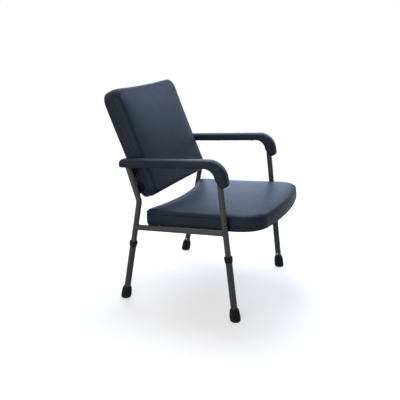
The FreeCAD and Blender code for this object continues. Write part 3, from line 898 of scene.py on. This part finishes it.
# a cover: its base blown up, gathered at the corners and closed by a short lip inside the tuck
def makeCushion(name, form, origin, along, up, nodes):
    points, quads, rows, loop = cushionBase(form)
    points = inflate(name, points, quads, rows, loop, form)
    placed = inPlane(pucker(points, rows, loop, form), origin, along, up)
    inner = np.arange(loop)
    closed = np.vstack([quads, bridge(inner, inner + len(placed))])
    surface = (np.vstack([placed, placed[:loop] + up * borderLook["lip"]]), closed)
    obj = addPiece(name, surface, navyVinyl, nodes=nodes, crease=0)
    smooth = obj.modifiers.new("finer", "SUBSURF")
    smooth.levels = smooth.render_levels = 1
    print(name, "made")


# tailBy and lobeBy: what the rounded ends take off the half width and the crest and add to the underside
padLook = {
    "half": 0.024, "over": 0.0103, "under": 0.0091, "swell": 0.012, "bend": 0.052, "tail": 0.0145,
    "drop": 0.032, "peel": 0.009, "gap": 0.0003, "shoulder": -0.001, "flank": 0.006, "square": 3.0,
    "corner": 0.004, "cornerShare": 0.4, "cornerFrom": 0.0115, "cornerSteps": 6, "around": 48, "along": 70,
    "bendSteps": 40, "endSteps": 12, "walls": 4, "leastWall": 0.0015, "grooveFrom": 0.0005, "fill": 0.85,
    "tailRound": 0.016, "tailBy": (0.011, 0.016, 0.007), "lobeRound": 0.015,
    "lobeBy": (0.0105, 0.0145, 0.002),
}
wrinkleLook = {"depth": 0.0005, "back": 0.04, "spread": 0.030, "below": 0.004, "ease": 0.010, "pitch": 0.011}


# section of an arm pad as (across, outward): superellipse crown on straight sides with rounded lower corners
def padSection(half, top, bottom, count):
    turn = np.linspace(0, math.pi, count - 2 * padLook["cornerSteps"])
    power = 2 / padLook["square"]
    shoulder = max(padLook["shoulder"], bottom + padLook["flank"])
    a = half * np.sign(np.cos(turn)) * np.abs(np.cos(turn)) ** power
    b = shoulder + (top - shoulder) * np.sin(turn) ** power
    corner = np.radians(np.linspace(0, 90, padLook["cornerSteps"]))
    r = min(padLook["corner"], padLook["cornerShare"] * (half - padLook["cornerFrom"]))
    lowA = half - r * (1 - np.sin(corner))
    lowB = bottom + r * (1 - np.cos(corner))
    left = np.column_stack([-lowA[::-1], lowB[::-1]])
    return np.vstack([np.column_stack([lowA, lowB]), np.column_stack([a, b]), left])


# run of a pad: a straight stretch, an arc and a straight stretch, close together near both rounded ends
def padRun(points, radius):
    run = bentRun(points, radius, padLook["bendSteps"])
    ease = 1 - np.cos(np.linspace(0, math.pi / 2, padLook["endSteps"]))
    tailShare = padLook["tailRound"] / np.linalg.norm(armCorner - armEnd)
    lobeShare = padLook["lobeRound"] / padLook["drop"]
    first = np.concatenate([ease * tailShare, np.linspace(tailShare, 1, padLook["along"])[1:-1]])
    before = np.linspace(0, 1 - lobeShare, padLook["endSteps"])[1:-1]
    last = np.concatenate([before, 1 - ease[::-1] * lobeShare])
    straight = run[0] + (run[1] - run[0]) * first[:, None]
    return np.vstack([straight, run[1:-1], run[-2] + (run[-1] - run[-2]) * last[:, None]])


# arm pad: the section stands on the tube's own line and reaches out to the pad's crest line, shrinks to a
# rounded end at the back and a rounded lobe in front, leaves the leg at its lower end, is wrinkled a little
# on the lower sides behind the bend and is grooved for the tube
def makeArmPads():
    count, walls = padLook["around"], padLook["walls"]
    forward = np.cross(xAxis, frontUp)
    crest = tubing["radius"] + padLook["over"]
    tail = armEnd + rearward * padLook["tail"]
    reach = tubing["armBend"] * math.tan(math.acos(frontUp @ rearward) / 2)
    lobe = armCorner - frontUp * (reach + padLook["drop"])
    outerTail, outerLobe = tail + slopeUp * crest, lobe + forward * (crest + padLook["swell"])
    outerCorner = meet(outerTail, rearward, outerLobe, frontUp)
    line = padRun([tail, armCorner, lobe], tubing["armBend"])
    outline = padRun([outerTail, outerCorner, outerLobe], padLook["bend"] + crest)
    top = np.linalg.norm(outline - line, axis=1)
    outward = (outline - line) / top[:, None]
    arc = lengths(line)
    total = arc[-1]
    tailIn = 1 - np.sqrt(1 - np.clip(1 - arc / padLook["tailRound"], 0, 1) ** 2)
    lobeIn = 1 - np.sqrt(1 - np.clip(1 - (total - arc) / padLook["lobeRound"], 0, 1) ** 2)
    peel = np.clip(1 - (total - arc) / padLook["drop"], 0, 1)
    tailBy, lobeBy = padLook["tailBy"], padLook["lobeBy"]
    half = padLook["half"] - tailIn * tailBy[0] - lobeIn * lobeBy[0]
    top = top - tailIn * tailBy[1] - lobeIn * lobeBy[1]
    bottom = -padLook["under"] + (padLook["under"] + padLook["peel"]) * peel
    bottom = bottom + tailIn * tailBy[2] + lobeIn * lobeBy[2]
    outer = np.stack([padSection(h, t, b, count) for h, t, b in zip(half, top, bottom)])
    off = arc - total + padLook["drop"] + wrinkleLook["back"]
    window = np.exp(-(off / wrinkleLook["spread"]) ** 2)[:, None]
    low = np.clip((wrinkleLook["below"] - outer[..., 1]) / wrinkleLook["ease"], 0, 1)
    wave = np.sin(arc * 2 * math.pi / wrinkleLook["pitch"])[:, None]
    outer[..., 0] *= 1 + wrinkleLook["depth"] / padLook["half"] * wave * window * low
    groove = tubing["radius"] + padLook["gap"]
    turn = np.linspace(0, math.pi, count - 2 * walls)
    wallB = np.linspace(0, 1, walls + 1)[:-1][None] * -bottom[:, None] + bottom[:, None]
    arch = np.broadcast_to(groove * np.sin(turn), (len(line), len(turn)))
    innerB = np.maximum(np.hstack([wallB, arch, wallB[:, ::-1]]), bottom[:, None])
    innerB = np.where((arc > padLook["tail"] - padLook["grooveFrom"])[:, None], innerB, bottom[:, None])
    innerA = np.concatenate([np.full(walls, groove), groove * np.cos(turn), np.full(walls, -groove)])
    innerA = innerA[None] * np.minimum(1, (half - padLook["leastWall"]) / groove)[:, None]
    section = np.concatenate([outer, np.stack([innerA, innerB], -1)[:, ::-1]], 1)
    grid = line[:, None] + section[..., :1] * xAxis + section[..., 1:] * outward[:, None]
    ids = np.arange(len(line) * 2 * count).reshape(len(line), 2 * count)
    caps = [np.stack([r[:count - 1], r[1:count], r[::-1][1:count], r[::-1][:count - 1]], -1)
            for r in (ids[0], ids[-1][::-1])]
    quads = np.vstack([gridQuads(len(line), 2 * count, False, True)] + caps)
    for hand, side in sides.items():
        surface = (beside(side, grid).reshape(-1, 3), quads)
        obj = addPiece("arm_rest_" + hand, surface, navyVinyl, nodes=["arm_pad_" + hand],
                       crease=60)
    print("arm rests made")


panelLook = {
    "inset": 0.014, "across": 60, "along": 56,
    "edge": [(0.0, 0.0046), (0.0, 0.0026), (0.0012, 0.0014), (0.003, 0.0008), (0.006, 0.0004)],
}


# vinyl-covered panel that closes the back: flat in the middle, its edge of (further inset, height) rows
# turned in to the cover behind
def makeRearPanel():
    form = dict(backForm, across=panelLook["across"], along=panelLook["along"])
    rows = [(panelLook["inset"] + further, height) for further, height in panelLook["edge"]]
    panel = np.insert(outlinePatch(form, rows[-1][0]).reshape(-1, 2), 2, rows[-1][1], axis=1)
    points, quads = closedRings(form, outlineRings(form, rows), panel)
    surface = (inPlane(points, backOrigin, backUp, backOut), quads[:, ::-1])
    addPiece("back_rear_panel", surface, navyVinyl, nodes=["back_panel"], crease=0)


clothForm = {"inset": 0.012, "level": 0.0006, "sag": 0.003, "hold": 0.02, "sideHold": 0.03, "fullBay": 0.2,
             "thick": 0.0004, "across": 60, "along": 56}


# dust cloth stapled under the seat: flat over the cross tubes and at its edge, hanging a little between them
def makeDustCloth():
    form = dict(seatForm, across=clothForm["across"], along=clothForm["along"])
    patch = outlinePatch(form, clothForm["inset"])
    stops = [seatForm["low"], *seatTubes.values(), seatForm["high"] - seatForm["highDraw"]]
    hang, hold = np.zeros(patch.shape[:2]), clothForm["hold"]
    for low, high in zip(stops, stops[1:]):
        share = np.clip((patch[..., 1] - low - hold) / (high - low - 2 * hold), 0, 1)
        hang = np.maximum(hang, np.sin(math.pi * share) ** 2 * min(1, (high - low) / clothForm["fullBay"]))
    side = np.clip(1 - (patch[..., 0] / (seatForm["width"] / 2 - clothForm["sideHold"])) ** 2, 0, 1)
    height = clothForm["level"] - clothForm["sag"] * hang * np.sqrt(side)
    points = np.dstack([patch, height]).reshape(-1, 3)
    quads = gridQuads(form["along"] + 1, form["across"] + 1)
    surface = (inPlane(points, seatOrigin, seatRearward, seatUp), quads[:, ::-1])
    obj = addPiece("seat_dust_cloth", surface, dustCloth, nodes=["seat_dust_cover"], crease=0)
    wall = obj.modifiers.new("cloth", "SOLIDIFY")
    wall.thickness, wall.offset = clothForm["thick"], 0.0
    loop = outlineLoop(form, clothForm["inset"])


stapleLook = {"inset": 0.019, "pitch": 0.034, "crown": 0.010, "wire": 0.0006, "skew": 12.0, "skewStep": 7.3,
              "ahead": 0.002, "clear": 0.018, "across": 80, "along": 76}


# staple crowns round the edge of the cloth: short six-sided bars along the edge, their ends bent in, each
# turned a little, none over a tube
def makeStaples():
    form = dict(seatForm, across=stapleLook["across"], along=stapleLook["along"])
    loop = outlineLoop(form, stapleLook["inset"])
    ring = np.vstack([loop, loop[:1]])
    arc = lengths(ring)
    spots = np.linspace(0, arc[-1], round(arc[-1] / stapleLook["pitch"]), endpoint=False)
    spot = readOff(spots, arc, ring)
    ahead = readOff((spots + stapleLook["ahead"]) % arc[-1], arc, ring) - spot
    skew = np.radians(stapleLook["skew"]) * np.sin(stapleLook["skewStep"] * np.arange(len(spot)))
    angle = np.arctan2(ahead[:, 1], ahead[:, 0]) + skew
    keep = np.abs(spot[:, 1:] - list(seatTubes.values())).min(1) > stapleLook["clear"]
    spot, angle = spot[keep], angle[keep]
    half, wire = stapleLook["crown"] / 2, stapleLook["wire"]
    along = np.array([-half, -half, -half + wire, half - wire, half, half])
    drop = np.array([0.0, 0.5, 1.0, 1.0, 0.5, 0.0]) * wire
    around = np.radians(np.arange(0, 360, 60))
    height = clothForm["level"] - drop[:, None] + wire / 2 * np.sin(around)
    local = np.stack([np.broadcast_to(along[:, None], height.shape),
                      np.broadcast_to(wire / 2 * np.cos(around), height.shape), height], -1).reshape(-1, 3)
    turnX = np.cos(angle)[:, None] * local[:, 0] - np.sin(angle)[:, None] * local[:, 1] + spot[:, :1]
    turnY = np.sin(angle)[:, None] * local[:, 0] + np.cos(angle)[:, None] * local[:, 1] + spot[:, 1:]
    points = np.stack([turnX, turnY, np.broadcast_to(local[:, 2], turnX.shape)], -1).reshape(-1, 3)
    ends = np.array([[0, 1, 2, 3], [0, 3, 4, 5], [33, 32, 31, 30], [35, 34, 33, 30]])
    one = np.vstack([gridQuads(*height.shape, False, True), ends])
    quads = (one[None] + len(local) * np.arange(len(spot))[:, None, None]).reshape(-1, 4)
    placed = inPlane(points, seatOrigin, seatRearward, seatUp)
    addPiece("seat_staples", (placed, quads), zincSteel)
    print(len(spot), "staples made")


# pan-head screw as (radius, height): shank end buried, rounded head, recess in the middle; the places are
# distances from the middle of the chair, and along the arm from its corner
screwLook = {
    "profile": [(0, -0.002), (0.0046, -0.002), (0.0048, 0.0003), (0.0047, 0.0009), (0.0043, 0.0016),
                (0.0035, 0.0021), (0.0025, 0.0024), (0.0021, 0.0024), (0.0017, 0.0009), (0, 0.0008)],
    "around": 28, "seat": (0.14, 0.06), "back": (0.07, 0.17), "arm": (0.075, 0.235),
}


# a head on each base, facing along the axis
def addScrews(name, bases, axis, material):
    heads = [lathe(screwLook["profile"], base, axis, xAxis, screwLook["around"]) for base in bases]
    addPiece(name, joined(heads), material, crease=30)


# the base repeated at each distance to the right and to the left
def toBothSides(bases, distances):
    return [base + xAxis * (side * across) for base in bases for side in (-1.0, 1.0) for across in distances]


def makeScrews():
    under = [crossMiddle + seatRearward * spot - seatUp * tubing["radius"] for spot in seatTubes.values()]
    addScrews("seat_screws", toBothSides(under, screwLook["seat"]), -seatUp, zincSteel)
    behind = [barMiddle(k, crossBars["thick"] + hairGap) for k in range(2)]
    addScrews("back_screws", toBothSides(behind, screwLook["back"]), -backOut, zincSteel)
    below = [armCorner + rearward * along - slopeUp * tubing["radius"] for along in screwLook["arm"]]
    for hand, side in sides.items():
        addScrews("arm_screws_" + hand, beside(side, below), -slopeUp, powderCoat)
    print("screws made")


# the two boards keep their solids and are given their finish
def dressNodes():
    for name, node in frame["nodes"].items():
        if name in ("seat_board", "back_board"):
            node.data.materials.clear()
            node.data.materials.append(birchPly)


makeFrameTubes()
makeCrossMembers()
makeWelds()
print("steel frame made")
makeLegs()
print("legs made")
makeCushion("seat_cover", seatForm, seatOrigin, seatRearward, seatUp, ["seat_cushion"])
makeCushion("back_cover", backForm, backOrigin, backUp, backOut, ["back_cushion"])
makeArmPads()
makeRearPanel()
makeDustCloth()
makeStaples()
makeScrews()
dressNodes()

studio = {
    "floorSize": 40.0, "bounce": "#585858", "seenFloor": "#c8c8c8", "glow": 0.5, "near": 0.9, "far": 2.6,
    "fill": 0.32, "lens": 51.1, "sensor": 36.0, "clip": (0.05, 60.0), "pitch": 17.47, "turn": 65.43,
    "eye": (-2.0716, -0.9125, 1.0789),
}
# lamps as (place, aim, size in metres, watts, colour): top light, warm fill from the near side, and two pale
# windows on the far side, one for the seat and a small one for the back
lamps = {
    "overhead": ((0.9, 0.5, 2.5), (0, 0, 0.4), 1.5, 62.0, "#e2eeff"),
    "nearFill": ((-2.7, 0.10, 1.1), (0, 0, 0.5), 2.6, 45.0, "#fff2e6"),
    "seatWindow": ((4.6, 1.9, 1.85), (0, 0, 0.45), 3.4, 95.0, "#b8d4ff"),
    "backWindow": ((1.35, -0.55, 1.50), (-0.05, 0.3, 0.78), 0.7, 13.0, "#b8d4ff"),
}


# one where a ray comes from the camera, a reflection or glass, and nothing where it carries bounced light
def seenRays(tree):
    rays = addNode(tree, "ShaderNodeLightPath")
    seen = addNode(tree, "ShaderNodeMath", {
        0: rays.outputs["Is Camera Ray"], 1: rays.outputs["Is Glossy Ray"]}, operation="MAXIMUM")
    return addNode(tree, "ShaderNodeMath", {
        0: seen.outputs[0], 1: rays.outputs["Is Transmission Ray"]}, operation="MAXIMUM").outputs[0]


# pale floor: it shows the shadow near the chair and fades to the white surround further out
def makeFloor():
    half = studio["floorSize"] / 2
    corners = np.array([(-half, -half, 0), (half, -half, 0), (half, half, 0), (-half, half, 0)], float)
    floor = newObject("studioFloor", (corners, np.array([[0, 1, 2, 3]])))
    material = bpy.data.materials.new("paleFloor")
    material.use_nodes = True
    tree = material.node_tree
    tree.nodes.remove(tree.nodes["Principled BSDF"])
    place = addNode(tree, "ShaderNodeTexCoord").outputs["Object"]
    away = addNode(tree, "ShaderNodeVectorMath", {0: place}, operation="LENGTH").outputs["Value"]
    fading = addNode(tree, "ShaderNodeMapRange", {
        "Value": away, "From Min": studio["near"], "From Max": studio["far"],
    }, interpolation_type="SMOOTHSTEP")
    fade = fading.outputs["Result"]
    tint = addNode(tree, "ShaderNodeMix", {
        "Factor": fade, "A": linear(studio["seenFloor"]), "B": (0.0, 0.0, 0.0, 1.0)}, data_type="RGBA")
    level = addNode(tree, "ShaderNodeMapRange", {"Value": fade, "To Min": studio["glow"], "To Max": 1.0})
    glow = addNode(tree, "ShaderNodeEmission", {"Strength": level.outputs["Result"]})
    matt = addNode(tree, "ShaderNodeBsdfDiffuse", {"Color": tint.outputs["Result"]})
    shown = addNode(tree, "ShaderNodeAddShader", {0: glow.outputs[0], 1: matt.outputs[0]})
    plain = addNode(tree, "ShaderNodeBsdfDiffuse", {"Color": linear(studio["bounce"])})
    both = addNode(tree, "ShaderNodeMixShader", {0: seenRays(tree), 1: plain.outputs[0], 2: shown.outputs[0]})
    tree.links.new(both.outputs[0], tree.nodes["Material Output"].inputs["Surface"])
    floor.data.materials.append(material)


# standard view, floor, a surround that is white to look at and dimmer as a light, lamps, the photo's camera
def makeStudio():
    scene = bpy.context.scene
    scene.view_settings.view_transform = "Standard"
    makeFloor()
    world = bpy.data.worlds.new("studioSurround")
    world.use_nodes = True
    tree = world.node_tree
    level = addNode(tree, "ShaderNodeMapRange", {
        "Value": seenRays(tree), "To Min": studio["fill"], "To Max": 1.0})
    tree.links.new(level.outputs["Result"], tree.nodes["Background"].inputs["Strength"])
    tree.nodes["Background"].inputs["Color"].default_value = (1.0, 1.0, 1.0, 1.0)
    scene.world = world
    for name, (spot, aim, size, power, colour) in lamps.items():
        data = bpy.data.lights.new(name, "AREA")
        data.shape, data.size, data.energy, data.color = "DISK", size, power, linear(colour)[:3]
        lamp = bpy.data.objects.new(name, data)
        scene.collection.objects.link(lamp)
        lamp.visible_camera = False
        lamp.location = spot
        lamp.rotation_euler = (Vector(aim) - Vector(spot)).to_track_quat("-Z", "Y").to_euler()
    view = bpy.data.cameras.new("photoView")
    view.lens, view.sensor_width = studio["lens"], studio["sensor"]
    view.clip_start, view.clip_end = studio["clip"]
    camera = bpy.data.objects.new("photoView", view)
    scene.collection.objects.link(camera)
    camera.location = np.array(studio["eye"]) + np.array([0.0, midY, 0.0])
    camera.rotation_euler = (math.radians(90 - studio["pitch"]), 0.0, math.radians(-studio["turn"]))
    scene.camera = camera


makeStudio()
